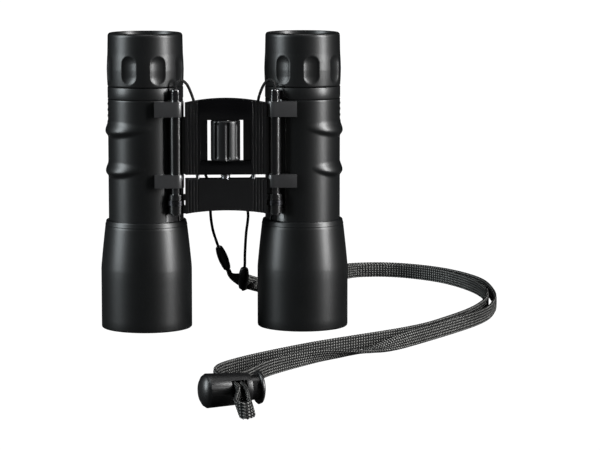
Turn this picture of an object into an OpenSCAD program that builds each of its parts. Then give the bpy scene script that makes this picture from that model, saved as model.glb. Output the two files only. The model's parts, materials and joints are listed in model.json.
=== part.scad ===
// Compact folding binoculars: two barrels on twin hinges, a bridge with a focus wheel,
// and a braided neck strap with a cord lock. Millimetres, +Z from the objectives to the eyecups.

/* [Barrels] */
// Distance between the two barrel axes when unfolded
ipd = 70.8; // [68:0.2:86]
// Outside diameter of the objective shell's foot
shell_d = 41; // [38:0.5:50]
// Outside diameter of the objective shell's upper rim
rim_d = 36.4; // [36:0.2:38]
// Height of the objective shell
shell_h = 49.2; // [42:0.2:60]
// Height of the straight foot of the shell
foot_h = 27; // [20:0.5:30]
// Height of the rubber armour between shell and collar
body_h = 54.7; // [46:0.1:66]
// Outside diameter of the rubber armour
body_d = 33.8; // [33:0.1:35]
// Thickness of the rubber armour
armour_t = 0.9; // [0.7:0.1:1.2]
// Wall of the barrel frame tube
frame_wall = 1; // [0.8:0.1:1.4]
// Height of the collar under the eyecup
collar_h = 5.6; // [4:0.1:8]
// Height of the eyecup
eyecup_h = 23.9; // [20:0.1:30]
// Outside diameter of the collar and the eyecup
eyecup_d = 34; // [33:0.1:36]
// Diameter of the opening in the eyecup's rim
eyecup_mouth_d = 29; // [26:0.5:30]
// Depth of the recess in the eyecup
eyecup_depth = 11; // [8:0.5:14]

/* [Optics] */
// Clear diameter of the objective
objective_d = 32; // [28:0.5:33]
// Diameter of the glass of the eye lens
eye_lens_d = 17; // [14:0.5:19]
// Depth of the front lens behind the shell's foot
hood_depth = 8; // [6:0.5:10]
// Wall of the objective cell
cell_wall = 1.2; // [1:0.1:1.6]

/* [Bridge] */
// Distance from the barrel axis to the hinge axis, sideways
hinge_inset = 13.3; // [12.5:0.1:15]
// Distance from the barrel axis to the hinge axis, towards the front
hinge_drop = 15.3; // [14.5:0.1:17]
// Diameter of the hinge pins
pin_d = 4.6; // [4:0.1:4.8]
// Diameter of the bridge's hinge tubes
tube_d = 5.6; // [5.4:0.1:6]
// Radius of the lugs around the hinge pins
lug_r = 3.6; // [3.4:0.1:3.6]
// Length of a lug from its hinge axis outwards
lug_len = 9.6; // [8:0.1:12]
// Height of the upper lugs
upper_lug_h = 6.8; // [5:0.1:8]
// Height of the lower lugs
lower_lug_h = 5.8; // [5:0.1:8]
// Height of the lower, sliding bridge at its sides
slider_h = 15.6; // [14:0.1:18]
// Gap between the upper bridge and the sliding bridge
bridge_gap = 1.9; // [1.8:0.1:3]
// Height of the arch of the bridges at the middle
arch_h = 2; // [1:0.1:3]
// Width of the smooth cover plate
cover_w = 24; // [22:0.5:28]
// Width of the window for the focus wheel
window_w = 22.4; // [18:0.1:23]

/* [Focus] */
// Diameter of the focus wheel
knob_d = 13.2; // [12:0.1:14]
// Diameter of the focus screw
screw_d = 4.3; // [3.6:0.1:4.4]
// Pitch of the focus screw
screw_pitch = 2.4; // [1:0.1:2.4]
// Diameter of the guide rods
rod_d = 1.6; // [1.2:0.1:2]
// Height of the focus arm's collar on the hinge pin
arm_h = 2.2; // [2:0.1:2.4]

/* [Strap] */
// Width of the braided strap
strap_w = 7; // [6:0.1:7]
// Thickness of the braided strap
strap_t = 1.6; // [1.2:0.1:1.8]
// Diameter of the thin cords
cord_d = 1.3; // [1:0.1:1.4]
// Diameter of a cord bead
bead_d = 5; // [4:0.1:5.2]
// Diameter of the cord lock's closed end
lock_d = 13.4; // [12:0.1:14]
// Length of the cord lock's barrel without its dome
lock_len = 17; // [16:0.5:18]

/* [Hidden] */

$fn = 72;
eps = 0.01;
run = 0.05;        // radial clearance of everything that turns or slides in a bore
gap = 0.3;         // clearance between neighbouring pieces that move past each other

// Places along the barrel
body_top = shell_h + body_h;
eyecup_z = body_top + collar_h;
total_h = eyecup_z + eyecup_h;

// Barrel radii
armour_r = body_d / 2;
frame_r = armour_r - armour_t;
frame_in = frame_r - frame_wall;
cell_r = frame_in - 8 * run;
shell_r = shell_d / 2;
shell_wall = 2;
hood_r = shell_r - shell_wall;
cell_foot_r = hood_r - 10 * run;

// Bridge, with the knob's front and the shell's back at equal distances from the origin
barrel_y = (hinge_drop + knob_d / 2 - shell_r) / 2;
hinge_y = barrel_y - hinge_drop;
hinge_x = ipd / 2 - hinge_inset;
hinge_angle = atan2(hinge_inset, hinge_drop);
bridge_half = hinge_x - lug_r - 0.5;
bridge_front = 3.4;
bridge_back = 3.1;
cover_t = 1;

// Heights of the hinge stack, from the shell's rim up
slider_z = shell_h + 4.3;
slider_top = slider_z + slider_h;
bridge_z = slider_top + bridge_gap;
upper_lug_top = body_top - 0.4;
upper_lug_z = upper_lug_top - upper_lug_h;
lower_lug_top = bridge_z - gap / 2;
lower_lug_z = lower_lug_top - lower_lug_h;
web_h = upper_lug_z - lower_lug_top - gap;
bridge_top = upper_lug_top - 0.6;
pin_z = slider_z - 0.8;
pin_top = upper_lug_top + 5.5;
pin_hole_d = 2;
foot_bar = 5.9;
head_bar = 7.5;
window_z = bridge_z + foot_bar;
window_top = bridge_top - head_bar;
rear_half = knob_d / 2 + 1.4;

// Ears of the sliding bridge and the collar of the focus arm between them
ear_z = slider_z;
ear_h = 3.5;
ear_play = 0.1;
arm_w = 3.6;
arm_z = ear_z + ear_h + ear_play;
upper_ear_z = arm_z + arm_h + ear_play;
upper_ear_h = 2.6;
focus_travel = screw_pitch * 240 / 360;
slot_h = arm_h + 2 * focus_travel + 4 * gap;
slot_z = arm_z - focus_travel - 2 * gap;

// Focus wheel
knob_gap = 0.2;
knob_z = window_z + knob_gap;
knob_h = window_top - window_z - 2 * knob_gap;
bush_wall = 0.4;
bush_r = screw_d / 2 + run + bush_wall;
bush_len = 5;
nut_r = screw_d / 2 + run + 0.5;
nut_h = 7;
rod_x = bridge_half - 5.5;
rod_grip = 6;
slider_floor = slider_z + 0.75 * arch_h + 1;
screw_z = slider_floor + focus_travel + gap;
rod_floor = slider_z + 2;
rod_z = rod_floor + focus_travel + gap;

// Eyepiece and prism places
eye_lens_z = total_h - eyecup_depth - 4;
eye_cell_z = body_top - 7;
eye_cell_r = eye_lens_d / 2 + 1.3;
eye_cell_top = total_h - eyecup_depth - 0.8;
prism_z = slot_z + slot_h + 4;
prism_h = 25;
prism_top = prism_h - 3;
prism_half = 9.6;
field_lens_z = eye_cell_z + 1.5;
lens_z = hood_depth;
glass_split = lens_z + 3.4;
glass_top = glass_split + 3;

// The objective cell narrows above its glass, and the frame tube starts above its shoulder
neck_rise = 11.4;
shoulder_h = 2.2;
neck_z = glass_top + neck_rise;
frame_z = neck_z + shoulder_h + focus_travel + 2 * gap;

dimple_count = 8;
dimple_d = 7;
dimple_h = 12.5;
dimple_depth = 1;

// Bead and cord lock places, on the strap's route
bead_left_top = [-2.3, 18.7, 34];
bead_left_end = [2, 19.7, 23];
bead_right_top = [10, 25.7, 23];
bead_right_end = [9.2, 29, 12.5];
lock_r = lock_d / 2;
lock_mouth_r = lock_r - 0.7;
lock_at = [-13.8, -193.8, lock_r];
lock_turn = 18;
lock_hole_s = 11.6;
lock_bore_r = 4.9;
slot_w = 6.4;
slot_low = lock_hole_s - slot_w / 2;
plunger_tail = slot_low - 2.4;
lock_floor = 1.5;
plunger_r = lock_bore_r - 2 * run;
plunger_travel = 2.4;
button_gap = plunger_travel + 1.2;
button_r = lock_d / 2 - 0.1;

// Routes of the cords, and of the strap with the roll of its width
left_route = [[-22.1, -14.6, 107], [-22.1, -14.6, 109], [-21.9, -14.5, 111.2], [-20, -13.9, 113],
  [-17.2, -12.7, 111.2], [-15, -11, 106.5], [-13.7, -10.5, 102], [-12, -10.5, 92], [-10.3, -10.5, 80],
  [-8.9, -10, 70.5], [-6.8, -6.5, 66.5], [-4.4, 0, 63.5], [-4.3, 7, 60.5], [-5.2, 13.5, 56.5],
  [-5.9, 17.5, 50.5], [-5, 18.5, 42.5],
  bead_left_top - 2 * unit(bead_left_end - bead_left_top), bead_left_top];
right_route = [[22.1, -14.6, 107], [22.1, -14.6, 109], [21.9, -14.5, 111.2], [20.2, -13.9, 113],
  [17.7, -12.7, 111.4], [15.7, -11.1, 107], [14.6, -10.5, 102], [14, -10.5, 92], [13.4, -10.5, 80],
  [12.6, -10, 70.5], [9.5, -7, 66.5], [5, -1.5, 63.5], [4.4, 6, 61], [5.6, 13, 57.5], [10, 19.5, 53.5],
  [11.6, 22.7, 48], [10.7, 24, 39], [10.2, 24.8, 30],
  bead_right_top - 2 * unit(bead_right_end - bead_right_top), bead_right_top];
strap_route = [[2, 19.7, 23, 70], [6.6, 31.6, 17.2, 20], [31, 78, 5.5, 0], [60, 141, 3.7, 0], [78, 152, 3.7, 0],
  [98, 147, 3.7, 0], [117, 127, 3.7, 0], [129, 95, 3.7, 0], [130.5, 58, 3.7, 0], [126.5, 26, 3.7, 0],
  [115, -7, 3.7, 0], [80, -59, 3.6, 30], [59, -80, 1.7, 90], [37, -101, 3.6, 150],
  [15.5, -126, 3.7, 180], [3, -155, 4.3, 180], [-4.4, -179.5, 6.7, 180], [1, -198.5, 6.9, 190],
  [2.5, -213.2, 4.2, 200], [1.9, -217.2, 3.8, 190], [0, -218.9, 3.7, 180], [-1.9, -217.2, 3.8, 170],
  [-2.5, -213.2, 4.2, 160], [-1.5, -199, 6.9, 170], [-7.4, -180.5, 6.7, 180], [-6, -135, 3.8, 180],
  [29, -92, 3.7, 180], [78, -50, 3.7, 180], [99, -22, 3.7, 180], [116, 10, 3.7, 180],
  [126, 45, 3.7, 180], [126, 84, 3.7, 180], [115, 120, 3.7, 180], [97, 141.5, 3.7, 180],
  [79, 147, 3.7, 180], [64, 137, 3.7, 180], [35, 76, 5.5, 180], [21, 45, 11.5, 180],
  [14, 34, 13.5, 180], [9.2, 29, 12.5, 180]];

// A tube or a flat band swept along a route: sides points, half sizes a (across) and b (thick)
function unit(v) = v / norm(v);
function spline(a, b, c, d, t) =
  0.5 * (2 * b + (c - a) * t + (2 * a - 5 * b + 4 * c - d) * t * t + (3 * b - a - 3 * c + d) * t * t * t);
function point_at(r, i) =
  i < 0 ? 2 * r[0] - r[1] : i >= len(r) ? 2 * r[len(r) - 1] - r[len(r) - 2] : r[i];
function smooth_route(r, steps) = concat(
  [for (i = [0:len(r) - 2], k = [0:steps - 1])
    spline(point_at(r, i - 1), r[i], r[i + 1], point_at(r, i + 2), k / steps)], [r[len(r) - 1]]);
function xyz(p) = [p[0], p[1], p[2]];
function roll_of(p) = len(p) > 3 ? p[3] : 0;
function tangent(r, i) = unit(xyz(r[min(i + 1, len(r) - 1)]) - xyz(r[max(i - 1, 0)]));
function band_ring(p, t, a, b, sides) =
  let(up = abs(t[2]) > 0.95 ? [0, 1, 0] : [0, 0, 1],
      v = unit(up - t * (up * t)), w = cross(t, v), c = cos(roll_of(p)), s = sin(roll_of(p)))
  [for (k = [0:sides - 1]) let(u = 360 * k / sides)
    xyz(p) + a * cos(u) * (v * c + w * s) + b * sin(u) * (w * c - v * s)];

module sweep(route, a, b, sides = 8) {
  rings = [for (i = [0:len(route) - 1]) band_ring(route[i], tangent(route, i), a, b, sides)];
  n = len(rings);
  polyhedron(
    points = [for (r = rings, p = r) p],
    faces = concat(
      [[for (k = [0:sides - 1]) k]],
      [for (i = [0:n - 2], k = [0:sides - 1]) let(a0 = i * sides + k, a1 = i * sides + (k + 1) % sides)
        each [[a0, a0 + sides, a1 + sides], [a0, a1 + sides, a1]]],
      [[for (k = [sides - 1:-1:0]) (n - 1) * sides + k]]));
}

// ---- shared shapes ----
module ring(r_out, r_in, h) {
  difference() {
    cylinder(r = r_out, h = h);
    translate([0, 0, -1]) cylinder(r = r_in, h = h + 2);
  }
}

module on_barrel(side) {
  translate([side * ipd / 2, barrel_y, 0]) mirror([side < 0 ? 1 : 0, 0, 0]) children();
}
module on_hinge(side) { translate([side * hinge_x, hinge_y, 0]) children(); }
module at_hinge() { translate([-hinge_inset, -hinge_drop, 0]) children(); }

// Outline of a hinge lug in a right-hand barrel's own frame, grown by g
module lug_outline(g = 0) {
  toward = [sin(hinge_angle), cos(hinge_angle)];
  across = [-cos(hinge_angle), sin(hinge_angle)];
  hinge = [-hinge_inset, -hinge_drop];
  r = lug_r + g;
  at_hinge() circle(r);
  polygon([hinge + [0, -r], hinge + [lug_len + g, -r], hinge + [lug_len + g, lug_r],
    hinge + toward * 9, hinge + toward * 9 + across * r, hinge + across * r]);
}

// ---- barrels ----
module frame(side) {
  color("dimgray") on_barrel(side) difference() {
    union() {
      translate([0, 0, frame_z]) cylinder(r = frame_r, h = body_top - frame_z);
      translate([0, 0, upper_lug_z]) linear_extrude(upper_lug_h) lug_outline();
      translate([0, 0, lower_lug_z]) linear_extrude(lower_lug_h) lug_outline();
    }
    translate([0, 0, frame_z - 1]) cylinder(r = frame_in, h = body_top - frame_z + 2);
    at_hinge() translate([0, 0, lower_lug_z - 1]) cylinder(r = pin_d / 2 + run, h = total_h);
    rotate(-90 - hinge_angle) translate([0, -arm_w / 2 - 2 * gap, slot_z])
      cube([frame_r + 2, arm_w + 4 * gap, slot_h]);
  }
}

// A finger ridge: an eccentric ring that fades into the armour away from its middle
module ridge(z, h, middle) {
  peak = 1;
  shift = peak / (1 - cos(54));
  r = armour_r + peak - shift;
  rotate(-90 + middle) translate([shift, 0, z]) rotate_extrude()
    polygon([[r - 3, 0], [r - 1.4, 0],
      for (a = [-70:20:90]) [r - 0.8 + 0.8 * cos(a), h * 0.3 + h * 0.22 * sin(a)],
      [r - 0.35, h * 0.72], [r - 1, h * 0.9], [r - 1.6, h], [r - 3, h]]);
}
module armour(side) {
  gap_middle = hinge_angle + 7;
  gap_half = 15;
  color("black") on_barrel(side) difference() {
    union() {
      translate([0, 0, shell_h - 3.4]) cylinder(r = armour_r, h = body_h + 3.4);
      ridge(body_top - 17.2, 7.6, 66);
      ridge(body_top - 35.3, 7.2, 58);
      for (k = [0:3]) rotate(-8) translate([0.25, 0, shell_h + 44 + 2.6 * k]) cylinder(r = armour_r, h = 1.2);
    }
    translate([0, 0, shell_h - 5]) cylinder(r = frame_r, h = body_h + 10);
    rotate(-90 - gap_middle) linear_extrude(total_h)
      polygon([[0, 0], 30 * [cos(gap_half), -sin(gap_half)], 30 * [cos(gap_half), sin(gap_half)]]);
    translate([0, 0, upper_lug_z - gap]) linear_extrude(total_h) lug_outline(gap);
    translate([0, 0, lower_lug_z - gap]) linear_extrude(lower_lug_h + 2 * gap) lug_outline(gap);
  }
}

module objective_shell(side) {
  rim_r = rim_d / 2;
  lip = 0.5;
  color("black") on_barrel(side) rotate_extrude($fn = 96)
    polygon(concat(
      [[hood_r, 0], [shell_r - 0.8, 0], [shell_r - 0.25, 0.25], [shell_r, 0.8], [shell_r, foot_h]],
      [for (k = [1:8]) let(t = k / 8)
        [shell_r - (shell_r - rim_r) * pow(t, 1.4), foot_h + (shell_h - lip - foot_h) * t]],
      [[rim_r - lip, shell_h], [armour_r + 0.2, shell_h], [armour_r + 0.2, shell_h - 3.7],
       [frame_r, shell_h - 3.7], [frame_r, frame_z], [hood_r, frame_z - shoulder_h]]));
}

module collar(side) {
  color("black") on_barrel(side) translate([0, 0, body_top]) difference() {
    union() {
      cylinder(r = eyecup_d / 2, h = collar_h - gap / 3);
      cylinder(r = eyecup_d / 2 - 2.2, h = collar_h + 3);
    }
    translate([0, 0, -1]) cylinder(r = eye_cell_r + 3, h = collar_h + 6);
    translate([0, 0, collar_h + gap]) ring(eyecup_d, eyecup_d / 2 - 2.4, 10);
  }
}

module eyecup(side) {
  r = eyecup_d / 2;
  h = eyecup_h;
  mouth = eyecup_mouth_d / 2;
  phase = side < 0 ? 19 : 10;
  color("black") translate([side * ipd / 2, barrel_y, eyecup_z]) difference() {
    rotate_extrude($fn = 96) polygon([
      [eye_cell_r + 0.4, 4.6], [r - 2.1, 4.6], [r - 2.1, 0], [r - 0.3, 0], [r, 0.3], [r + 0.15, h * 0.15],
      [r + 0.25, h * 0.32], [r + 0.1, h * 0.5], [r - 0.1, h * 0.62], [r - 0.2, h - 1.2], [r - 0.6, h - 0.3],
      [r - 1.3, h], [mouth + 0.3, h], [mouth, h - 0.4], [mouth - 0.6, h - 2],
      [eye_cell_r + 2.4, h - eyecup_depth],
      [eye_cell_r + 0.4, h - eyecup_depth]]);
    for (k = [0:dimple_count - 1]) rotate(-90 + phase + k * 360 / dimple_count)
      translate([r + 0.2, 0, 1.5]) dimple();
  }
}
// An oval hollow, cut by a large round-ended rod whose axis stands outside the surface
module dimple() {
  big = (dimple_d * dimple_d / 4 + dimple_depth * dimple_depth) / (2 * dimple_depth);
  translate([big - dimple_depth, 0, dimple_d / 2]) {
    cylinder(r = big, h = dimple_h - dimple_d);
    sphere(r = big);
    translate([0, 0, dimple_h - dimple_d]) sphere(r = big);
  }
}

module eyepiece_cell(side) {
  color("dimgray") on_barrel(side) difference() {
    union() {
      translate([0, 0, eye_cell_z]) cylinder(r = eye_cell_r, h = eye_cell_top - eye_cell_z);
      translate([0, 0, eye_cell_z]) cylinder(r = side < 0 ? frame_in : frame_in - run, h = 5);
    }
    translate([0, 0, eye_cell_z - 1]) cylinder(r = eye_lens_d / 2 - 1, h = total_h);
    translate([0, 0, eye_lens_z]) cylinder(r = eye_lens_d / 2, h = total_h);
    translate([0, 0, field_lens_z]) cylinder(r = eye_lens_d / 2, h = 3);
  }
}
module eye_lens(side) {
  color("slategray") on_barrel(side) translate([0, 0, eye_lens_z]) lens(eye_lens_d / 2, 1.6, 0.9);
}
module field_lens(side) {
  color("slategray") on_barrel(side) translate([0, 0, field_lens_z]) cylinder(r = eye_lens_d / 2, h = 3);
}
// Plano-convex lens: edge thickness t, crown c, flat side down
module lens(r, t, c) {
  big = (r * r + c * c) / (2 * c);
  rotate_extrude() polygon(concat([[0, 0], [r, 0]],
    [for (k = [8:-1:0]) let(x = r * k / 8) [x, t + c - big + sqrt(big * big - x * x)]]));
}

module prism_cage(side) {
  color("dimgray") on_barrel(side) translate([0, 0, prism_z - 2]) difference() {
    cylinder(r = frame_in, h = 2 + prism_h / 2);
    translate([0, 0, -1]) cylinder(r = 8, h = 4);
    translate([-prism_half, -prism_half, 2]) cube([2 * prism_half, 2 * prism_half, prism_h]);
  }
}
module half_prism(side) {
  color("lightsteelblue") on_barrel(side) translate([prism_half, 0, prism_z]) rotate([0, -90, 0])
    linear_extrude(2 * prism_half)
      polygon([[0, -prism_half], [0, prism_half], [6, prism_half], [11, 2]]);
}
module roof_prism(side) {
  color("lightsteelblue") on_barrel(side) translate([prism_half, 0, prism_z]) rotate([0, -90, 0])
    linear_extrude(2 * prism_half)
      polygon([[7, prism_half], [prism_top, prism_half], [prism_top, -prism_half + 3], [12, 2.6]]);
}

module objective_cell(side) {
  tube_top = prism_z - 2 - focus_travel - 2 * gap;
  lens_r = objective_d / 2 + 0.4;
  neck_in = cell_r - cell_wall;
  color("dimgray") on_barrel(side) difference() {
    rotate_extrude() polygon([[lens_r, lens_z - 1.2], [cell_foot_r, lens_z - 1.2],
      [cell_foot_r, neck_z - 3.4],
      [cell_r, neck_z], [cell_r, tube_top], [neck_in, tube_top], [neck_in, neck_z - 1],
      [lens_r - 1.2, neck_z - 4.4], [lens_r - 1.2, glass_top], [lens_r, glass_top]]);
    rotate(-90 - hinge_angle) translate([cell_r - 3, -arm_w / 2, arm_z]) cube([4, arm_w, arm_h]);
  }
}
module objective_crown(side) {
  color("slategray") on_barrel(side) translate([0, 0, glass_split]) mirror([0, 0, 1])
    lens(objective_d / 2 + 0.4, 1.4, 1.4);
}
module objective_flint(side) {
  color("slategray") on_barrel(side) translate([0, 0, glass_split])
    cylinder(r = objective_d / 2 + 0.4, h = glass_top - glass_split);
}
module lens_ring(side) {
  r = objective_d / 2;
  color("black") on_barrel(side) translate([0, 0, lens_z - 1.2]) ring(r + 0.4, r - 0.6, 3);
}
module focus_arm(side) {
  reach = norm([hinge_inset, hinge_drop]);
  color("dimgray") on_barrel(side) difference() {
    union() {
      at_hinge() translate([0, 0, arm_z]) cylinder(r = lug_r, h = arm_h);
      rotate(-90 - hinge_angle) translate([cell_r - cell_wall, -arm_w / 2, arm_z])
        cube([reach - cell_r + cell_wall, arm_w, arm_h]);
    }
    at_hinge() translate([0, 0, arm_z - 1]) cylinder(r = pin_d / 2 + run, h = arm_h + 2);
  }
}

// ---- bridge ----
// Front view of a bridge half-plate: straight sides, arched top and bottom edges
module arched_block(z0, z1, rise0, rise1, half, y0, y1) {
  n = 12;
  arch = function (x) 1 - pow(x / half, 2);
  translate([0, y1, 0]) rotate([90, 0, 0]) linear_extrude(y1 - y0) polygon(concat(
    [for (k = [-n:n]) let(x = half * k / n) [x, z0 + rise0 * arch(x)]],
    [for (k = [n:-1:-n]) let(x = half * k / n) [x, z1 + rise1 * arch(x)]]));
}
// Grooves down the front of both side fields of a bridge
module flutes(z0, z1) {
  pitch = 1.35;
  first = cover_w / 2 + 0.45;
  count = floor((bridge_half - first - 0.6) / pitch);
  for (s = [-1, 1], k = [0:count]) translate([s * (first + k * pitch), -bridge_front, z0])
    cylinder(r = 0.4, h = z1 - z0, $fn = 16);
}

module upper_bridge() {
  color("black") translate([0, hinge_y, 0]) difference() {
    union() {
      difference() {
        arched_block(bridge_z, bridge_top, 0, arch_h, bridge_half, -bridge_front, bridge_back);
        translate([-cover_w / 2, -bridge_front - 1, bridge_z - 1]) cube([cover_w, 1 + cover_t, total_h]);
        translate([-window_w / 2, -bridge_front - 1, window_z])
          cube([window_w, bridge_front + 0.9, window_top - window_z]);
        translate([-rear_half, -bridge_front - 1, window_z])
          cube([2 * rear_half, 2 * bridge_front + 4, window_top - window_z]);
        flutes(bridge_z - 1, total_h);
      }
      for (s = [-1, 1]) {
        translate([s * hinge_x, 0, lower_lug_top + gap / 2]) cylinder(r = tube_d / 2, h = web_h);
        translate([min(s * hinge_x, s * (bridge_half - 1)), 0.4, lower_lug_top + gap / 2])
          cube([hinge_x - bridge_half + 1, 2, web_h]);
      }
    }
    for (s = [-1, 1]) translate([s * hinge_x, 0, 0]) cylinder(r = pin_d / 2, h = total_h);
    translate([0, 0, bridge_z - 1]) cylinder(r = bush_r, h = foot_bar + 1 + eps);
    translate([0, 0, window_top - eps]) cylinder(r = bush_r, h = bush_len + eps);
    for (s = [-1, 1]) translate([s * rod_x, 0, bridge_z - 1]) cylinder(r = rod_d / 2, h = rod_grip + 1);
  }
}

module bridge_cover() {
  color("black") translate([0, hinge_y, 0]) difference() {
    intersection() {
      arched_block(bridge_z, bridge_top, 0, arch_h, bridge_half, -bridge_front, -bridge_front + cover_t);
      translate([-cover_w / 2, -10, 0]) cube([cover_w, 20, total_h]);
    }
    translate([-window_w / 2, -bridge_front - 1, window_z])
      cube([window_w, cover_t + 2, window_top - window_z]);
    translate([0, 0, bridge_z - 1]) cylinder(r = bush_r, h = window_top + bush_len + 1 - bridge_z);
  }
}
module hinge_pin(side) {
  color("silver") on_hinge(side) difference() {
    union() {
      translate([0, 0, pin_z]) cylinder(r = pin_d / 2, h = pin_top - pin_z - 0.8);
      translate([0, 0, pin_top - 0.8 - eps]) rotate_extrude() polygon([[0, 0], [pin_d / 2, 0],
        [pin_d / 2 - 0.15, 0.4], [pin_d / 2 - 0.45, 0.68], [pin_d / 2 - 0.8, 0.8], [0, 0.8]]);
    }
    translate([0, 0, pin_top - 2]) cylinder(r = pin_hole_d / 2, h = 3);
  }
}
module guide_rods() {
  color("silver") for (s = [-1, 1]) translate([s * rod_x, hinge_y, rod_z])
    cylinder(r = rod_d / 2, h = bridge_z + rod_grip - rod_z);
}
module focus_bushes() {
  color("goldenrod") translate([0, hinge_y, 0]) {
    translate([0, 0, bridge_z]) ring(bush_r, bush_r - bush_wall, foot_bar);
    translate([0, 0, window_top]) ring(bush_r, bush_r - bush_wall, bush_len);
  }
}

module lower_bridge() {
  color("black") translate([0, hinge_y, 0]) difference() {
    union() {
      difference() {
        arched_block(slider_z, slider_top, arch_h * 0.75, 0, bridge_half, -bridge_front, bridge_back);
        flutes(0, total_h);
      }
      for (s = [-1, 1]) for (e = [[ear_z, ear_h], [upper_ear_z, upper_ear_h]]) translate([0, 0, e[0]]) {
        translate([s * hinge_x, 0, 0]) cylinder(r = lug_r - gap, h = e[1]);
        translate([min(s * hinge_x, s * (bridge_half - 1)), -1.2, 0])
          cube([hinge_x - bridge_half + 1, 3, e[1]]);
      }
    }
    for (s = [-1, 1]) translate([s * hinge_x, 0, 0]) cylinder(r = pin_d / 2 + run, h = total_h);
    translate([0, 0, slider_floor]) cylinder(r = nut_r, h = total_h);
    for (s = [-1, 1]) translate([s * rod_x, 0, rod_floor]) cylinder(r = rod_d / 2 + run, h = total_h);
  }
}
module focus_nut() {
  color("goldenrod") translate([0, hinge_y, slider_top - nut_h - gap]) ring(nut_r, screw_d / 2 + run, nut_h);
}
module focus_screw() {
  thread_h = window_z - screw_z;
  turns = floor(thread_h / 0.8) - 1;
  r = screw_d / 2;
  color("silver") translate([0, hinge_y, screw_z]) {
    rotate_extrude() polygon(concat([[0, 0]],
      [for (k = [0:turns - 1]) each [[r - 0.35, 0.8 * k], [r, 0.8 * k + 0.3], [r, 0.8 * k + 0.5]]],
      [[r - 0.35, 0.8 * turns], [r - 0.35, thread_h], [r, thread_h],
       [r, window_top + bush_len - 0.5 - screw_z], [0, window_top + bush_len - 0.5 - screw_z]]));
  }
}
module focus_knob() {
  r = knob_d / 2;
  grooves = 8;
  color("black") translate([0, hinge_y, knob_z]) difference() {
    rotate_extrude() polygon([[screw_d / 2, 0], [r - 0.6, 0], [r, 0.6], [r, knob_h - 0.6], [r - 0.6, knob_h],
      [screw_d / 2, knob_h]]);
    for (k = [0:grooves - 1]) rotate(-90 + 6 + 360 * k / grooves) translate([r + 0.25, 0, 1.5]) {
      cylinder(r = 0.95, h = knob_h - 3, $fn = 24);
      sphere(r = 0.95, $fn = 24);
      translate([0, 0, knob_h - 3]) sphere(r = 0.95, $fn = 24);
    }
  }
}

// ---- cords, strap and cord lock ----
module bead(top, end) {
  axis = end - top;
  spin = atan2(axis[1], axis[0]);
  tilt = acos(axis[2] / norm(axis));
  l = norm(axis);
  r = bead_d / 2;
  color("black") translate(top) rotate([0, tilt, spin]) rotate_extrude($fn = 32) polygon(concat(
    [[0, 0]], [for (k = [0:8]) let(t = k / 8) [r * (0.55 + 0.45 * sin(180 * t)), l * t]], [[0, l]]));
}
module cord(route) { color("black") sweep(route, cord_d / 2, cord_d / 2); }
module neck_strap() {
  color("black") sweep(smooth_route(strap_route, 2), strap_w / 2, strap_t / 2, 8);
}

module on_lock() { translate(lock_at) rotate([0, 90, lock_turn]) children(); }
// The strap's passage across the lock and its plunger
module strap_slot(low, high) {
  translate([-strap_w / 2 - 0.6, -lock_r - 1, low]) cube([strap_w + 1.2, 2 * lock_r + 2, high - low]);
}
module cord_lock_body() {
  color("black") on_lock() difference() {
    union() {
      cylinder(r1 = lock_r, r2 = lock_mouth_r, h = lock_len);
      translate([0, 0, -2.8]) rotate_extrude() polygon([[0, 0], [lock_r * 0.35, 0.12], [lock_r * 0.66, 0.7],
        [lock_r * 0.88, 1.6], [lock_r, 2.8 + eps], [0, 2.8 + eps]]);
    }
    translate([0, 0, lock_floor]) cylinder(r = lock_bore_r, h = lock_len);
    strap_slot(slot_low, slot_low + slot_w);
  }
}
module cord_lock_spring() {
  turns = 2.5;
  steps = 12;
  coil_r = 3.2;
  wire_r = 0.35;
  low = lock_floor + wire_r + 0.1;
  high = plunger_tail - wire_r - 0.1;
  path = [for (k = [0:turns * steps]) [coil_r * cos(360 * k / steps), coil_r * sin(360 * k / steps),
    low + (high - low) * k / (turns * steps)]];
  color("silver") on_lock() sweep(path, wire_r, wire_r, 6);
}
module cord_lock_plunger() {
  color("black") on_lock() difference() {
    union() {
      translate([0, 0, plunger_tail]) cylinder(r = plunger_r, h = lock_len - plunger_tail + button_gap);
      translate([0, 0, lock_len + button_gap - eps]) rotate_extrude() polygon([[0, 0], [button_r - 0.5, 0],
        [button_r, 0.5], [button_r - 0.3, 1.3], [button_r * 0.7, 2], [0, 2.4]]);
    }
    strap_slot(slot_low, slot_low + slot_w + plunger_travel);
  }
}

// ---- drawing ----

upper_bridge();
bridge_cover();
hinge_pin(-1);  // hinge_pin_left
hinge_pin(1);  // hinge_pin_right
guide_rods();
focus_bushes();
lower_bridge();
focus_nut();
focus_knob();
focus_screw();
cord(left_route);  // cord_left
cord(right_route);  // cord_right
bead(bead_left_top, bead_left_end);  // cord_bead_left
bead(bead_right_top, bead_right_end);  // cord_bead_right
neck_strap();
cord_lock_body();
cord_lock_spring();
cord_lock_plunger();
frame(-1);  // left_frame
armour(-1);  // left_armour
objective_shell(-1);  // left_objective_shell
collar(-1);  // left_collar
eyecup(-1);  // left_eyecup
eyepiece_cell(-1);  // left_eyepiece_cell
eye_lens(-1);  // left_eye_lens
field_lens(-1);  // left_field_lens
prism_cage(-1);  // left_prism_cage
roof_prism(-1);  // left_roof_prism
half_prism(-1);  // left_half_prism
objective_cell(-1);  // left_objective_cell
objective_crown(-1);  // left_objective_crown
objective_flint(-1);  // left_objective_flint
lens_ring(-1);  // left_lens_ring
focus_arm(-1);  // left_focus_arm
frame(1);  // right_frame
armour(1);  // right_armour
objective_shell(1);  // right_objective_shell
collar(1);  // right_collar
eyecup(1);  // right_eyecup
eyepiece_cell(1);  // right_eyepiece_cell
eye_lens(1);  // right_eye_lens
field_lens(1);  // right_field_lens
prism_cage(1);  // right_prism_cage
roof_prism(1);  // right_roof_prism
half_prism(1);  // right_half_prism
objective_cell(1);  // right_objective_cell
objective_crown(1);  // right_objective_crown
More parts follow.
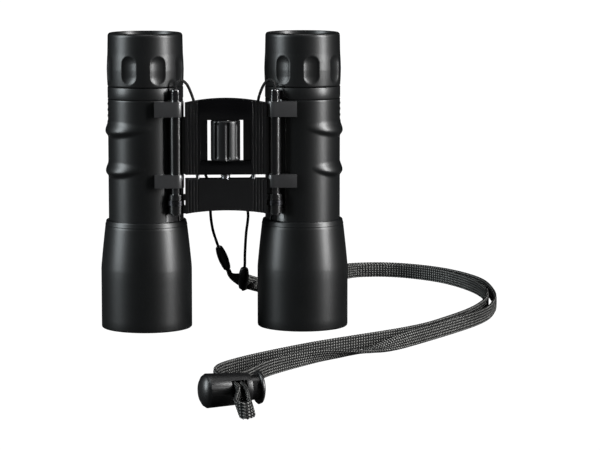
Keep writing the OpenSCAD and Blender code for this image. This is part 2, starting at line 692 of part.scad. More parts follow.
objective_flint(1);  // right_objective_flint
lens_ring(1);  // right_lens_ring
focus_arm(1);  // right_focus_arm
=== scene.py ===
import json
import math

import bmesh
import bpy
import numpy as np
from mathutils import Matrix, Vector


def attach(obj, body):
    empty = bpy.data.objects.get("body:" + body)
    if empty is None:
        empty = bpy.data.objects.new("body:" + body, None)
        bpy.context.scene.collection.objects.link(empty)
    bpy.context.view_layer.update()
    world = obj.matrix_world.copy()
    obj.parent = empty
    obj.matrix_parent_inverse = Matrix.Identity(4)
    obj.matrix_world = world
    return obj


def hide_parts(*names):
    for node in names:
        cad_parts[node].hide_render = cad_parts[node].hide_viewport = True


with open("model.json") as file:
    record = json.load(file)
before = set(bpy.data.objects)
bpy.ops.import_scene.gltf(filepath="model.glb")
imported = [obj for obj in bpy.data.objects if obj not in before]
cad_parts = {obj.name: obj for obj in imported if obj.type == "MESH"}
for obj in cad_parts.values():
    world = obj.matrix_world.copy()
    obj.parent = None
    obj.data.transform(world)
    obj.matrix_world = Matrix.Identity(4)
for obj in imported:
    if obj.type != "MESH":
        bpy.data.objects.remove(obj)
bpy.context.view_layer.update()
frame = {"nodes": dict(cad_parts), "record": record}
scene = bpy.context.scene

# ---------------------------------------------------------------- places, in millimetres
MM = 0.001
BARREL_X = 35.4
BARREL_Y = 0.7
HINGE_Y = -14.6
SHELL_R = 20.5
RIM_R = 18.2
SHELL_H = 49.2
FOOT_H = 27.0
ARMOUR_R = 16.9
BODY_TOP = 103.9
EYECUP_Z = 109.5
EYECUP_H = 23.9
EYECUP_R = 17.0
MOUTH_R = 14.5
STRAP_W = 7.0
STRAP_T = 1.6
CORD_D = 1.3
WHEEL_Z = 77.1
WHEEL_H = 18.1
WHEEL_R = 6.6
WHEEL_BORE_R = 2.15
FLUTES = 8                        # hollows round the focus wheel and round each eyecup
FLUTE_STEP = 360 / FLUTES         # degrees
ARMOUR_FROM, ARMOUR_TO = -33.0, 297.0   # degrees from the barrel's front, outward

# ---------------------------------------------------------------- camera
camera_data = bpy.data.cameras.new("camera")
camera_data.sensor_width = 36.0
camera_data.lens = 161.5122
camera = bpy.data.objects.new("camera", camera_data)
scene.collection.objects.link(camera)
eye = Vector((-41.1, -1209.4, 199.2)) * MM
aim = Vector((34.1, -1.4, 46.1)) * MM
camera.location = eye
camera.rotation_euler = (aim - eye).to_track_quat("-Z", "Y").to_euler()
scene.camera = camera
scene.render.resolution_x = 600
scene.render.resolution_y = 450

# ---------------------------------------------------------------- routes of the cords and the strap
# A point is x, y, z and, for the strap, its roll about its own line in degrees.
def unit(v):
    v = np.array(v, float)
    return v / np.linalg.norm(v)


bead_left_top, bead_left_end = np.array([-2.3, 18.7, 34.0]), np.array([2.0, 19.7, 23.0])
bead_right_top, bead_right_end = np.array([10.0, 25.7, 23.0]), np.array([9.2, 29.0, 12.5])
left_route = [[-22.1, -14.6, 107], [-22.1, -14.6, 109], [-21.9, -14.5, 111.2], [-20, -13.9, 113],
              [-17.2, -12.7, 111.2], [-15, -11, 106.5], [-13.7, -10.5, 102], [-12, -10.5, 92],
              [-10.3, -10.5, 80], [-8.9, -10, 70.5], [-6.8, -6.5, 66.5], [-4.4, 0, 63.5],
              [-4.3, 7, 60.5], [-5.2, 13.5, 56.5], [-5.9, 17.5, 50.5], [-5, 18.5, 42.5],
              list(bead_left_top - 2 * unit(bead_left_end - bead_left_top)),
              list(bead_left_top)]
right_route = [[22.1, -14.6, 107], [22.1, -14.6, 109], [21.9, -14.5, 111.2], [20.2, -13.9, 113],
               [17.7, -12.7, 111.4], [15.7, -11.1, 107], [14.6, -10.5, 102], [14, -10.5, 92],
               [13.4, -10.5, 80], [12.6, -10, 70.5], [9.5, -7, 66.5], [5, -1.5, 63.5],
               [4.4, 6, 61], [5.6, 13, 57.5], [10, 19.5, 53.5], [11.6, 22.7, 48], [10.7, 24, 39],
               [10.2, 24.8, 30],
               list(bead_right_top - 2 * unit(bead_right_end - bead_right_top)),
               list(bead_right_top)]
strap_route = [[2, 19.7, 23, 70], [6.6, 31.6, 17.2, 20], [31, 78, 5.5, 0], [60, 141, 3.7, 0],
               [78, 152, 3.7, 0], [98, 147, 3.7, 0], [117, 127, 3.7, 0], [129, 95, 3.7, 0],
               [130.5, 58, 3.7, 0], [126.5, 26, 3.7, 0], [115, -7, 3.7, 0], [80, -59, 3.6, 30],
               [59, -80, 1.7, 90], [37, -101, 3.6, 150], [15.5, -126, 3.7, 180], [3, -155, 4.3, 180],
               [-4.4, -179.5, 6.7, 180], [1, -198.5, 6.9, 190], [2.5, -213.2, 4.2, 200],
               [1.9, -217.2, 3.8, 190], [0, -218.9, 3.7, 180], [-1.9, -217.2, 3.8, 170],
               [-2.5, -213.2, 4.2, 160], [-1.5, -199, 6.9, 170], [-7.4, -180.5, 6.7, 180],
               [-6, -135, 3.8, 180], [29, -92, 3.7, 180], [78, -50, 3.7, 180], [99, -22, 3.7, 180],
               [116, 10, 3.7, 180], [126, 45, 3.7, 180], [126, 84, 3.7, 180], [115, 120, 3.7, 180],
               [97, 141.5, 3.7, 180], [79, 147, 3.7, 180], [64, 137, 3.7, 180], [35, 76, 5.5, 180],
               [21, 45, 11.5, 180], [14, 34, 13.5, 180], [9.2, 29, 12.5, 180]]


def smooth_route(route, spacing):
    """The route as a spline through its points, with points about spacing apart."""
    r = np.array([list(p) + [0] * (4 - len(p)) for p in route], float)
    out = []
    for i in range(len(r) - 1):
        a = r[i - 1] if i else 2 * r[0] - r[1]
        b, c = r[i], r[i + 1]
        d = r[i + 2] if i + 2 < len(r) else 2 * r[-1] - r[-2]
        n = max(2, int(round(np.linalg.norm((c - b)[:3]) / spacing)))
        for k in range(n):
            t = k / n
            out.append(0.5 * (2 * b + (c - a) * t + (2 * a - 5 * b + 4 * c - d) * t * t
                              + (3 * b - a - 3 * c + d) * t ** 3))
    out.append(r[-1])
    return np.array(out)


def length_of(points):
    return float(np.linalg.norm(np.diff(points[:, :3], axis=0), axis=1).sum())


# ---------------------------------------------------------------- materials
def node_tree(name):
    m = bpy.data.materials.new(name)
    m.use_nodes = True
    t = m.node_tree
    t.nodes.clear()
    out = t.nodes.new("ShaderNodeOutputMaterial")
    p = t.nodes.new("ShaderNodeBsdfPrincipled")
    t.links.new(p.outputs["BSDF"], out.inputs["Surface"])
    return m, t, p


def noise_of(t, coords, scale, detail=3.0, rough=0.55):
    n = t.nodes.new("ShaderNodeTexNoise")
    n.inputs["Scale"].default_value = scale
    n.inputs["Detail"].default_value = detail
    n.inputs["Roughness"].default_value = rough
    t.links.new(coords, n.inputs["Vector"])
    return n.outputs["Fac"]


def ramp(t, value, low, high, a, b):
    n = t.nodes.new("ShaderNodeMapRange")
    n.inputs["From Min"].default_value = low
    n.inputs["From Max"].default_value = high
    n.inputs["To Min"].default_value = a
    n.inputs["To Max"].default_value = b
    t.links.new(value, n.inputs["Value"])
    return n.outputs["Result"]


def blend_colour(t, factor, a, b):
    n = t.nodes.new("ShaderNodeMix")
    n.data_type = "RGBA"
    n.inputs["A"].default_value = (*a, 1)
    n.inputs["B"].default_value = (*b, 1)
    t.links.new(factor, n.inputs["Factor"])
    return n.outputs["Result"]


def bump(t, p, height, distance, under=None):
    n = t.nodes.new("ShaderNodeBump")
    n.inputs["Strength"].default_value = 1.0
    n.inputs["Distance"].default_value = distance
    t.links.new(height, n.inputs["Height"])
    if under is not None:
        t.links.new(under, n.inputs["Normal"])
    t.links.new(n.outputs["Normal"], p.inputs["Normal"])
    return n.outputs["Normal"]


def object_coords(t):
    return t.nodes.new("ShaderNodeTexCoord").outputs["Object"]


def moulded(name, colour, rough, spread, grain_mm, grain_depth, specular=0.5, coat=0.0):
    """Rubber, paint or plastic: slow colour and roughness variation over a fine moulded grain."""
    m, t, p = node_tree(name)
    c = object_coords(t)
    slow = noise_of(t, c, 60.0, 4.0)
    fine = noise_of(t, c, 1000.0 / grain_mm, 3.0, 0.6)
    dark = tuple(x / 1.5 for x in colour)
    t.links.new(blend_colour(t, ramp(t, slow, 0.35, 0.65, 0.0, 1.0), dark, colour), p.inputs["Base Color"])
    t.links.new(ramp(t, fine, 0.3, 0.7, rough - spread, rough + spread), p.inputs["Roughness"])
    p.inputs["Specular IOR Level"].default_value = specular
    p.inputs["Coat Weight"].default_value = coat
    p.inputs["Coat Roughness"].default_value = 0.12
    bump(t, p, fine, grain_depth * MM)
    return m


def metal(name, colour, rough, stretch):
    """Turned or drawn metal with fine lines round or along the piece."""
    m, t, p = node_tree(name)
    mapping = t.nodes.new("ShaderNodeMapping")
    mapping.inputs["Scale"].default_value = stretch
    t.links.new(object_coords(t), mapping.inputs["Vector"])
    lines = noise_of(t, mapping.outputs["Vector"], 900.0, 2.0)
    tint = tuple(x * 0.6 for x in colour)
    t.links.new(blend_colour(t, lines, tint, colour), p.inputs["Base Color"])
    t.links.new(ramp(t, lines, 0.3, 0.7, rough * 0.8, rough * 1.3), p.inputs["Roughness"])
    p.inputs["Metallic"].default_value = 1.0
    bump(t, p, lines, 0.01 * MM)
    return m


def glass(name, tint, coat_tint):
    m, t, p = node_tree(name)
    c = object_coords(t)
    slow = noise_of(t, c, 40.0, 2.0)
    t.links.new(blend_colour(t, slow, tint, coat_tint), p.inputs["Base Color"])
    t.links.new(ramp(t, slow, 0.3, 0.7, 0.015, 0.04), p.inputs["Roughness"])
    p.inputs["Transmission Weight"].default_value = 0.85
    p.inputs["IOR"].default_value = 1.52
    p.inputs["Coat Weight"].default_value = 0.6
    p.inputs["Coat Tint"].default_value = (*coat_tint, 1)
    return m


def math_node(t, operation, a, b=None):
    n = t.nodes.new("ShaderNodeMath")
    n.operation = operation
    for socket, value in ((n.inputs[0], a), (n.inputs[1], b)):
        if value is None:
            continue
        if isinstance(value, (int, float)):
            socket.default_value = value
        else:
            t.links.new(value, socket)
    return n.outputs[0]


def braid(name, rows, pitch, dark, light, depth):
    """Braided nylon, from UV: u across the face in 0 to 1, v along it in millimetres."""
    m, t, p = node_tree(name)
    split = t.nodes.new("ShaderNodeSeparateXYZ")
    uv = t.nodes.new("ShaderNodeUVMap")
    uv.uv_map = "UVMap"
    t.links.new(uv.outputs["UV"], split.inputs["Vector"])
    row = math_node(t, "FRACT", math_node(t, "MULTIPLY", split.outputs["X"], rows))
    side = math_node(t, "MULTIPLY", math_node(t, "ABSOLUTE", math_node(t, "SUBTRACT", row, 0.5)), 2.0)
    along = math_node(t, "ADD", math_node(t, "DIVIDE", split.outputs["Y"], pitch),
                      math_node(t, "MULTIPLY", side, 0.55))
    wave = math_node(t, "SINE", math_node(t, "MULTIPLY", along, 2 * math.pi))
    crest = math_node(t, "ADD", math_node(t, "MULTIPLY", wave, 0.5), 0.5)
    fall = math_node(t, "SUBTRACT", 1.0, math_node(t, "POWER", side, 2.5))
    height = math_node(t, "MULTIPLY", crest, fall)
    fuzz = noise_of(t, object_coords(t), 2500.0, 2.0)
    patch = noise_of(t, object_coords(t), 45.0, 3.0)
    speck = math_node(t, "MULTIPLY", ramp(t, height, 0.62, 0.98, 0.0, 1.0),
                      ramp(t, patch, 0.3, 0.7, 0.45, 1.0))
    t.links.new(blend_colour(t, speck, dark, light), p.inputs["Base Color"])
    t.links.new(ramp(t, fuzz, 0.3, 0.7, 0.45, 0.67), p.inputs["Roughness"])
    p.inputs["Specular IOR Level"].default_value = 0.2
    p.inputs["Sheen Weight"].default_value = 0.02
    p.inputs["Sheen Roughness"].default_value = 0.4
    under = bump(t, p, fuzz, 0.03 * MM)
    bump(t, p, height, depth * MM, under)
    return m


M = {
    "bridge_paint": moulded("bridge_paint", (0.003, 0.003, 0.0034), 0.20, 0.03, 0.35, 0.0008, 0.9, 0.5),
    "cover_paint": moulded("cover_paint", (0.002, 0.002, 0.0024), 0.20, 0.03, 0.5, 0.001, 0.4, 0.15),
    "lug_paint": moulded("lug_paint", (0.03, 0.03, 0.031), 0.32, 0.03, 0.3, 0.001, 0.6, 0.25),
    "pin_black": moulded("pin_black", (0.008, 0.008, 0.009), 0.13, 0.02, 0.4, 0.0004, 0.8, 0.6),
    "rod_steel": metal("rod_steel", (0.20, 0.20, 0.21), 0.24, (1, 1, 0.05)),
    "screw_steel": metal("screw_steel", (0.55, 0.55, 0.57), 0.28, (0.2, 0.2, 3)),
    "arm_steel": metal("arm_steel", (0.06, 0.06, 0.065), 0.3, (1, 0.2, 1)),
    "bearing_brass": metal("bearing_brass", (0.72, 0.55, 0.28), 0.28, (0.2, 0.2, 3)),
    "wheel_rubber": moulded("wheel_rubber", (0.007, 0.007, 0.0075), 0.33, 0.05, 0.3, 0.004, 0.5),
    "bead_plastic": moulded("bead_plastic", (0.010, 0.010, 0.011), 0.34, 0.06, 0.5, 0.012, 0.5),
    "lock_plastic": moulded("lock_plastic", (0.005, 0.005, 0.0055), 0.36, 0.05, 0.35, 0.008, 0.45),
    "frame_paint": moulded("frame_paint", (0.012, 0.012, 0.013), 0.36, 0.06, 0.3, 0.008, 0.5),
    "armour_rubber": moulded("armour_rubber", (0.003, 0.0034, 0.0036), 0.37, 0.04, 0.28, 0.006, 0.45),
    "shell_rubber": moulded("shell_rubber", (0.0028, 0.0032, 0.0034), 0.37, 0.04, 0.28, 0.005, 0.45),
    "eyecup_rubber": moulded("eyecup_rubber", (0.004, 0.0044, 0.0046), 0.38, 0.04, 0.28, 0.006, 0.45),
    "cell_black": metal("cell_black", (0.05, 0.05, 0.052), 0.45, (0.3, 0.3, 2)),
    "ring_plastic": moulded("ring_plastic", (0.012, 0.012, 0.012), 0.5, 0.05, 0.3, 0.01),
    "lens_glass": glass("lens_glass", (0.80, 0.90, 0.88), (0.45, 0.7, 0.62)),
    "prism_glass": glass("prism_glass", (0.88, 0.93, 0.92), (0.8, 0.9, 0.88)),
    "cord_nylon": braid("cord_nylon", 4, 0.9, (0.004, 0.004, 0.004), (0.02, 0.02, 0.021), 0.12),
    "strap_nylon": braid("strap_nylon", 6, 1.5, (0.0025, 0.0025, 0.0025), (0.50, 0.50, 0.48), 0.45),
}
for name, node in frame["nodes"].items():
    slot = next(s["material_slot"] for s in frame["record"]["subparts"] if s["node"] == name)
    if not node.material_slots:
        node.data.materials.append(M[slot])
    for material_slot in node.material_slots:
        material_slot.material = M[slot]


# ---------------------------------------------------------------- mesh helpers
def make(name, verts, faces, body, slot, replaces=(), uvs=None, sharp=35.0):
    """verts in millimetres; uvs one (u, v) for each corner of each face, in face order."""
    me = bpy.data.meshes.new(name)
    me.from_pydata([tuple(float(x) * MM for x in v) for v in verts], [], [tuple(f) for f in faces])
    if uvs is not None:
        layer = me.uv_layers.new(name="UVMap")
        layer.data.foreach_set("uv", np.array(uvs, np.float32).ravel())
    return place(name, me, body, slot, None, replaces, sharp)


def place(name, me, body, slot, material, replaces, sharp):
    """Puts a mesh in the scene; edges sharper than sharp degrees stay sharp, the rest are smooth."""
    me.validate()
    bm = bmesh.new()
    bm.from_mesh(me)
    bmesh.ops.recalc_face_normals(bm, faces=bm.faces)
    bm.to_mesh(me)
    bm.free()
    me.polygons.foreach_set("use_smooth", np.ones(len(me.polygons), bool))
    me.set_sharp_from_angle(angle=math.radians(sharp))
    me.materials.clear()
    me.materials.append(material or M[slot])
    o = bpy.data.objects.new(name, me)
    scene.collection.objects.link(o)
    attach(o, body)
    if replaces:
        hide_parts(*replaces)
    return o


def lathe(name, profile, centre, body, slot, n, wave=None, **more):
    """A closed profile of (r, z) turned round centre (x, y); wave(angle, r, z) adds to the radius."""
    p = np.array(profile, float)
    m = len(p)
    verts, faces = [], []
    for k in range(n):
        a = 2 * math.pi * k / n
        for r, z in p:
            q = r + (wave(a, r, z) if wave else 0.0)
            verts.append((centre[0] + q * math.cos(a), centre[1] + q * math.sin(a), z))
    for k in range(n):
        b0, b1 = k * m, ((k + 1) % n) * m
        for i in range(m):
            j = (i + 1) % m
            faces.append((b0 + i, b1 + i, b1 + j, b0 + j))
    return make(name, verts, faces, body, slot, **more)


def softened(node, name, width, body, slot, segments=3, angle=32.0, material=None, smooth=30.0):
    """A copy of a CAD node with its sharp edges rounded, standing for the node."""
    src = frame["nodes"][node]
    me = src.data.copy()
    bm = bmesh.new()
    bm.from_mesh(me)
    bmesh.ops.remove_doubles(bm, verts=bm.verts, dist=1e-6)
    bmesh.ops.dissolve_limit(bm, angle_limit=math.radians(1.0), verts=bm.verts, edges=bm.edges)
    edges = [e for e in bm.edges if len(e.link_faces) == 2
             and e.calc_face_angle(0.0) > math.radians(angle)]
    bmesh.ops.bevel(bm, geom=edges, offset=width * MM, offset_type="OFFSET", segments=segments,
                    profile=0.5, affect="EDGES", clamp_overlap=True)
    bm.to_mesh(me)
    bm.free()
    return place(name, me, body, slot, material, (node,), smooth)


def smoothstep(x, a, b):
    t = np.clip((x - a) / (b - a), 0, 1)
    return t * t * (3 - 2 * t)


# ---------------------------------------------------------------- cords, beads and strap
def sweep(name, pts, half_w, half_t, section, body, slot, replaces, wobble=None, taper=None):
    """A band or cord along pts (x, y, z, roll), with a closed section of (across, thick, u).

    across and thick run from -1 to 1. wobble(distance) moves the edges outward; taper is two lists,
    distances from the nearer end and the share of the width there.
    """
    n = len(pts)
    xyz = pts[:, :3]
    tan = np.zeros((n, 3))
    tan[1:-1] = xyz[2:] - xyz[:-2]
    tan[0], tan[-1] = xyz[1] - xyz[0], xyz[-1] - xyz[-2]
    tan /= np.linalg.norm(tan, axis=1)[:, None]
    dist = np.concatenate([[0], np.cumsum(np.linalg.norm(np.diff(xyz, axis=0), axis=1))])
    verts, faces, uvs = [], [], []
    m = len(section)
    for i in range(n):
        t = tan[i]
        up = np.array([0, 1, 0]) if abs(t[2]) > 0.95 else np.array([0, 0, 1])
        v = up - t * float(up @ t)
        v /= np.linalg.norm(v)
        w = np.cross(t, v)
        c, s = math.cos(math.radians(pts[i, 3])), math.sin(math.radians(pts[i, 3]))
        wide, thick = v * c + w * s, w * c - v * s
        grow = wobble(dist[i]) if wobble else 0.0
        end = min(dist[i], dist[-1] - dist[i])
        share = 1.0 if taper is None else float(np.interp(end, taper[0], taper[1]))
        for a, b, _ in section:
            reach = half_w * share + (grow if abs(a) > 0.9 else 0)
            verts.append(xyz[i] + wide * a * reach + thick * b * half_t)
    for i in range(n - 1):
        for k in range(m):
            j = (k + 1) % m
            faces.append((i * m + k, (i + 1) * m + k, (i + 1) * m + j, i * m + j))
            ua, ub = section[k][2], section[j][2] if j else section[k][2] + 1.0 / m
            uvs += [(ua, dist[i]), (ua, dist[i + 1]), (ub, dist[i + 1]), (ub, dist[i])]
    faces.append(tuple(range(m)))
    uvs += [(0, 0)] * m
    faces.append(tuple((n - 1) * m + k for k in reversed(range(m))))
    uvs += [(0, 0)] * m
    return make(name, verts, faces, body, slot, replaces=replaces, uvs=uvs, sharp=60.0)


def round_section(m):
    return [(math.cos(2 * math.pi * k / m), math.sin(2 * math.pi * k / m), k / m) for k in range(m)]


def flat_section(rows):
    """A flat braid: rows soft ridges on both faces and rounded edges."""
    loop = []
    steps = rows * 2
    for face in (1, -1):
        for k in range(steps + 1):
            a = face * (1 - 2 * k / steps)
            ridge = 0.93 if k % 2 else 0.74
            edge = math.sqrt(max(0.0, 1 - abs(a) ** 6))
            if 0 < k < steps:
                loop.append((a, face * ridge * max(0.35, edge), k / steps))
            else:
                loop.append((a * 0.985, face * 0.22, k / steps))
    return loop


left_points = smooth_route(left_route, 0.8)
right_points = smooth_route(right_route, 0.8)
strap_points = smooth_route(strap_route, 0.45)

cord_left = sweep("thin_cord_left", left_points, CORD_D / 2, CORD_D / 2, round_section(12), "bridge",
                  "cord_nylon", ("cord_left",))
cord_right = sweep("thin_cord_right", right_points, CORD_D / 2, CORD_D / 2, round_section(12), "bridge",
                   "cord_nylon", ("cord_right",))
loop_middle = length_of(strap_points[:int(np.argmin(strap_points[:, 1])) + 1])


def strap_edge(s):
    """The braid's edge, cut in between its beads, which stand out most in the cord lock's loop."""
    near = math.exp(-((s - loop_middle) / 17.0) ** 4)
    return (0.08 + 0.25 * near) * (math.sin(2 * math.pi * s / 1.6) - 1)


strap = sweep("braided_strap", strap_points, STRAP_W / 2, STRAP_T / 2, flat_section(7), "bridge",
              "strap_nylon", ("neck_strap",), wobble=strap_edge,
              taper=([0, 6, 14, 22], [0.3, 0.36, 0.7, 1.0]))


def bead(name, top, end, node):
    axis = end - top
    l = float(np.linalg.norm(axis))
    z = axis / l
    x = unit(np.cross([0.0, 0.0, 1.0], z))
    y = np.cross(z, x)
    prof = []
    for k in range(25):
        t = k / 24
        body = 0.58 + 0.42 * math.sin(math.pi * min(1, max(0, t))) ** 0.7
        band = -0.05 * math.exp(-((t - 0.72) / 0.03) ** 2)
        prof.append((2.5 * (body + band), l * t))
    prof = [(0.7, 0.25)] + [(1.1, 0.0)] + prof[1:-1] + [(1.1, l), (0.7, l - 0.25)]
    verts, faces = [], []
    n, m = 48, len(prof)
    for k in range(n):
        a = 2 * math.pi * k / n
        for r, s in prof:
            verts.append(top + z * s + x * r * math.cos(a) + y * r * 0.92 * math.sin(a))
    for k in range(n):
        b0, b1 = k * m, ((k + 1) % n) * m
        for i in range(m - 1):
            faces.append((b0 + i, b1 + i, b1 + i + 1, b0 + i + 1))
    faces.append(tuple(k * m for k in range(n)))
    faces.append(tuple(k * m + m - 1 for k in reversed(range(n))))
    return make(name, verts, faces, "bridge", "bead_plastic", replaces=(node,), sharp=50.0)


bead_left = bead("bead_left", bead_left_top, bead_left_end, "cord_bead_left")
bead_right = bead("bead_right", bead_right_top, bead_right_end, "cord_bead_right")
lock_body = softened("cord_lock_body", "lock_body", 0.45, "bridge", "lock_plastic")
lock_plunger = softened("cord_lock_plunger", "lock_plunger_button", 0.3, "lock_plunger", "lock_plastic")


# ---------------------------------------------------------------- barrels
def outward(angle, side):
    """Degrees from the barrel's front towards its outer side."""
    a = math.degrees(angle) + 90
    a = (a + 180) % 360 - 180
    return a * side


# middle height, half height, and the angles where a ridge starts and is at its highest
RIDGES = [(90.35, 3.9, -10.0, 66.0), (72.2, 3.7, 0.0, 58.0)]
RIDGE_RISE = 1.35
RIDGE_BACK = 150                  # angle where the ridges end
GRIP_LOW, GRIP_HIGH, GRIP_PITCH = 93.0, 103.6, 2.6   # fine ribs under the eyecup


def armour_wave(side):
    def wave(angle, r, z):
        if r < ARMOUR_R - 0.5:
            return 0.0
        phi = outward(angle, side)
        total = 0.0
        for zc, half, tip, middle in RIDGES:
            tip0 = tip + (11.0 if side > 0 else 0.0)
            u = (phi - tip0) / (middle - tip0) if phi < middle else (RIDGE_BACK - phi) / (RIDGE_BACK - middle)
            if u <= 0:
                continue
            u = min(1.0, u)
            s = math.sin(0.5 * math.pi * u)
            h = half * (0.25 + 0.75 * s ** 0.8)
            q = (z - zc - 1.4 * (1 - s)) / h
            if abs(q) >= 1:
                continue
            q = (q + 0.28) / 1.28 if q > -0.28 else (q + 0.28) / 0.72
            total += RIDGE_RISE * s ** 1.1 * (0.5 + 0.5 * math.cos(math.pi * q)) ** 0.85
        if GRIP_LOW < z < GRIP_HIGH and phi > 55:
            rib = max(0.0, math.sin(2 * math.pi * (z - GRIP_LOW) / GRIP_PITCH)) ** 0.7
            total += 0.22 * smoothstep(phi, 55, 75) * rib
        return total
    return wave


def armour(side, body):
    """A sleeve that is open where the hinge lugs come out, with its cut edges turned in."""
    wave = armour_wave(side)
    prefix = "left_" if side < 0 else "right_"
    lo, hi = ARMOUR_FROM, ARMOUR_TO
    n = 260
    zs = sorted({46.0, SHELL_H, *np.arange(SHELL_H + 0.5, BODY_TOP - 0.5, 0.55),
                 BODY_TOP - 0.35, BODY_TOP - 0.1})
    rows = [(ARMOUR_R - 0.92, zs[0])] + [(ARMOUR_R, z) for z in zs[:-1]] + [(ARMOUR_R - 0.12, zs[-1]),
            (ARMOUR_R - 0.35, BODY_TOP), (ARMOUR_R - 0.92, BODY_TOP)]
    m = len(rows)
    verts, faces = [], []
    for k in range(n + 1):
        phi = lo + (hi - lo) * k / n
        near = min(k, n - k)
        dip = 0.35 if near == 0 else (0.1 if near == 1 else 0.0)
        a = math.radians(side * phi - 90)
        for r, z in rows:
            q = r + wave(a, r, z) - (dip if r > ARMOUR_R - 0.5 else 0)
            verts.append((side * BARREL_X + q * math.cos(a), BARREL_Y + q * math.sin(a), z))
    for k in range(n):
        for i in range(m):
            j = (i + 1) % m
            faces.append((k * m + i, (k + 1) * m + i, (k + 1) * m + j, k * m + j))
    faces.append(tuple(range(m)))
    faces.append(tuple(n * m + i for i in reversed(range(m))))
    return make(prefix + "rubber_armour", verts, faces, body, "armour_rubber",
                replaces=(prefix + "armour",), sharp=50.0)


def shell(side, body):
    prefix = "left_" if side < 0 else "right_"
    outer = [(SHELL_R, FOOT_H * k / 6) for k in range(1, 7)]
    for k in range(1, 25):
        t = k / 24
        z = FOOT_H + (46.4 - FOOT_H) * t
        outer.append((SHELL_R - (SHELL_R - RIM_R) * ((z - FOOT_H) / (SHELL_H - FOOT_H)) ** 1.15, z))
    r = outer[-1][0]
    profile = [(18.5, 8.0), (18.5, 0.35), (18.8, 0.0), (SHELL_R - 0.9, 0.0), (SHELL_R - 0.45, 0.08),
               (SHELL_R - 0.12, 0.35), (SHELL_R, 0.9)] + outer
    profile += [(r - 0.10, 46.6), (r - 0.10, 46.8), (r + 0.02, 47.0), (RIM_R, 48.2), (RIM_R - 0.06, 48.7),
                (RIM_R - 0.25, 49.05), (RIM_R - 0.6, SHELL_H), (17.1, SHELL_H), (17.1, 45.5), (16.0, 45.5),
                (16.0, 30.2), (18.5, 28.0)]
    return lathe(prefix + "front_shell", profile, (side * BARREL_X, BARREL_Y), body, "shell_rubber", n=192,
                 replaces=(prefix + "objective_shell",), sharp=28.0)


def collar(side, body):
    prefix = "left_" if side < 0 else "right_"
    r = EYECUP_R
    profile = [(12.8, 104.0), (r - 0.35, 104.0), (r - 0.1, 104.12), (r, 104.4), (r, 109.0),
               (r - 0.12, 109.25), (r - 0.4, 109.38), (14.8, 109.38), (14.7, 112.4), (12.8, 112.4)]
    return lathe(prefix + "ring_collar", profile, (side * BARREL_X, BARREL_Y), body, "eyecup_rubber", n=160,
                 replaces=(prefix + "collar",), sharp=28.0)


def eyecup(side, body):
    prefix = "left_" if side < 0 else "right_"
    r, h, z0 = EYECUP_R, EYECUP_H, EYECUP_Z
    phase = 19 if side < 0 else 10    # degrees from the front to the first dimple

    def outer_r(t):
        xs = [0, 0.15, 0.32, 0.5, 0.62, 0.78, 0.95]
        ys = [0.0, 0.18, 0.30, 0.14, -0.04, -0.12, -0.2]
        return r + float(np.interp(t, xs, ys))

    outer = [(outer_r(z / h), z0 + z) for z in np.linspace(0.45, h - 1.3, 56)]
    profile = [(14.9, z0 + 4.6), (14.9, z0 + 0.0), (r - 0.35, z0), (r - 0.1, z0 + 0.15)] + outer
    profile += [(r - 0.3, z0 + h - 0.9), (r - 0.5, z0 + h - 0.45), (r - 0.85, z0 + h - 0.12),
                (r - 1.3, z0 + h), (MOUTH_R + 0.45, z0 + h), (MOUTH_R + 0.1, z0 + h - 0.12),
                (MOUTH_R - 0.05, z0 + h - 0.5), (MOUTH_R - 0.6, z0 + h - 2.0),
                (MOUTH_R - 0.9, z0 + h - 4.5), (12.4, z0 + h - 10.6),
                (12.1, z0 + h - 11.0), (10.2, z0 + h - 11.0), (10.2, z0 + 4.6)]

    def wave(angle, q, z):
        if q < r - 1.0 or not z0 + 0.5 < z < z0 + 16:
            return 0.0
        deg = math.degrees(angle) + 90 - phase
        deg = (deg + FLUTE_STEP / 2) % FLUTE_STEP - FLUTE_STEP / 2
        x = math.radians(deg) * r
        mid = z0 + 1.5 + 6.25
        y = max(0.0, abs(z - mid) - 2.75)
        d = math.hypot(x, y) / 3.5
        return -1.0 * (1 - d * d) ** 0.8 if d < 1 else 0.0

    return lathe(prefix + "rubber_eyecup", profile, (side * BARREL_X, BARREL_Y), body,
                 "eyecup_rubber", n=360, wave=wave, replaces=(prefix + "eyecup",), sharp=40.0)


for side, body in ((-1, "left_barrel"), (1, "right_barrel")):
    armour(side, body)
    shell(side, body)
    collar(side, body)
eyecup(-1, "left_barrel")
eyecup(1, "dioptre_ring")
for prefix in ("left_", "right_"):
    softened(prefix + "frame", prefix + "barrel_frame", 0.42, prefix + "barrel", "frame_paint",
             material=M["lug_paint"])

# ---------------------------------------------------------------- bridge and focus wheel
softened("upper_bridge", "bridge_upper_body", 0.12, "bridge", "bridge_paint", 2, 60.0, smooth=12.0)
softened("bridge_cover", "bridge_cover_plate", 0.25, "bridge", "cover_paint", 3, 40.0)
softened("lower_bridge", "bridge_slider_body", 0.12, "slider", "bridge_paint", 2, 60.0, smooth=12.0)


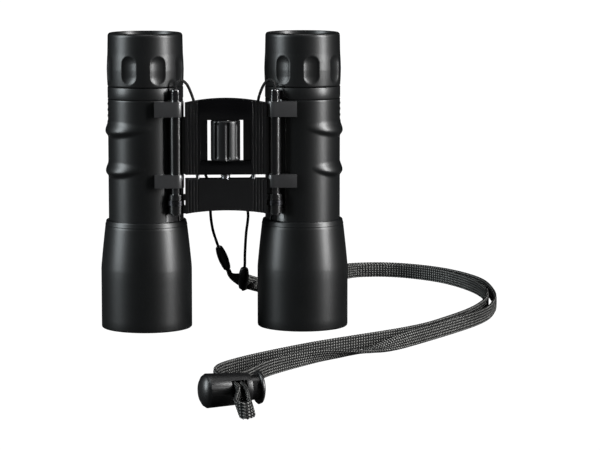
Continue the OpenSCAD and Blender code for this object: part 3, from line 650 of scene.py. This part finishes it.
def focus_wheel():
    z0, h, r = WHEEL_Z, WHEEL_H, WHEEL_R

    def wave(angle, q, z):
        if q < r - 0.8:
            return 0.0
        deg = math.degrees(angle) + 90 - 6
        deg = (deg + FLUTE_STEP / 2) % FLUTE_STEP - FLUTE_STEP / 2
        x = math.radians(deg) * r
        y = max(0.0, abs(z - z0 - h / 2) - (h / 2 - 1.9))
        d = math.hypot(x, y) / 1.25
        return -0.95 * max(0.0, 1 - d * d) ** 0.5 if d < 1 else 0.0

    profile = [(WHEEL_BORE_R, z0), (r - 0.9, z0), (r - 0.35, z0 + 0.12), (r - 0.06, z0 + 0.4)]
    profile += [(r, z0 + 0.8 + (h - 1.6) * k / 30) for k in range(31)]
    profile += [(r - 0.06, z0 + h - 0.4), (r - 0.35, z0 + h - 0.12), (r - 0.9, z0 + h),
                (WHEEL_BORE_R, z0 + h)]
    lathe("focus_wheel_grip", profile, (0, HINGE_Y), "focus_wheel", "wheel_rubber", n=288, wave=wave,
          replaces=("focus_knob",), sharp=45.0)


focus_wheel()

# ---------------------------------------------------------------- floor, world and lights
FLOOR_HALF = 6.0                  # metres
FLOOR_Z = -0.0002
me = bpy.data.meshes.new("floor")
me.from_pydata([(x * FLOOR_HALF, y * FLOOR_HALF, FLOOR_Z) for x, y in ((-1, -1), (1, -1), (1, 1), (-1, 1))],
               [], [(0, 1, 2, 3)])
floor = bpy.data.objects.new("floor", me)
scene.collection.objects.link(floor)
m, t, p = node_tree("floor_white")
p.inputs["Base Color"].default_value = (0.05, 0.05, 0.05, 1)
p.inputs["Roughness"].default_value = 0.7
p.inputs["Specular IOR Level"].default_value = 0.1
glow = t.nodes.new("ShaderNodeEmission")
glow.inputs["Color"].default_value = (1, 1, 1, 1)
glow.inputs["Strength"].default_value = 1.06
path = t.nodes.new("ShaderNodeLightPath")
mix = t.nodes.new("ShaderNodeMixShader")
t.links.new(path.outputs["Is Camera Ray"], mix.inputs["Fac"])
t.links.new(p.outputs["BSDF"], mix.inputs[1])
t.links.new(glow.outputs["Emission"], mix.inputs[2])
t.links.new(mix.outputs["Shader"], t.nodes["Material Output"].inputs["Surface"])
me.materials.append(m)

world = bpy.data.worlds.new("studio")
scene.world = world
world.use_nodes = True
t = world.node_tree
t.nodes.clear()
out = t.nodes.new("ShaderNodeOutputWorld")
seen = t.nodes.new("ShaderNodeBackground")
seen.inputs["Color"].default_value = (1, 1, 1, 1)
seen.inputs["Strength"].default_value = 1.05
fill = t.nodes.new("ShaderNodeBackground")
fill.inputs["Color"].default_value = (0.9, 0.95, 1, 1)
fill.inputs["Strength"].default_value = 0.006
path = t.nodes.new("ShaderNodeLightPath")
mix = t.nodes.new("ShaderNodeMixShader")
t.links.new(path.outputs["Is Camera Ray"], mix.inputs["Fac"])
t.links.new(fill.outputs["Background"], mix.inputs[1])
t.links.new(seen.outputs["Background"], mix.inputs[2])
t.links.new(mix.outputs["Shader"], out.inputs["Surface"])


def area(name, at, to, size_x, size_y, power, colour=(1, 1, 1)):
    """A rectangular light at a place in metres, turned towards another."""
    d = bpy.data.lights.new(name, "AREA")
    d.shape = "RECTANGLE"
    d.size, d.size_y = size_x, size_y
    d.energy = power
    d.color = colour
    o = bpy.data.objects.new(name, d)
    scene.collection.objects.link(o)
    o.location = at
    o.rotation_euler = (Vector(to) - Vector(at)).to_track_quat("-Z", "Y").to_euler()


area("strip_right", (1.06, -0.56, 0.50), (0, 0, 0.07), 0.26, 0.95, 34.0)
area("soft_left", (-1.16, -0.24, 0.50), (0, 0, 0.07), 0.5, 0.95, 21.0, (0.90, 0.97, 1.0))
area("top", (0.1, -0.2, 1.3), (0, 0, 0.05), 0.7, 0.5, 4.0)

scene.view_settings.view_transform = "Standard"
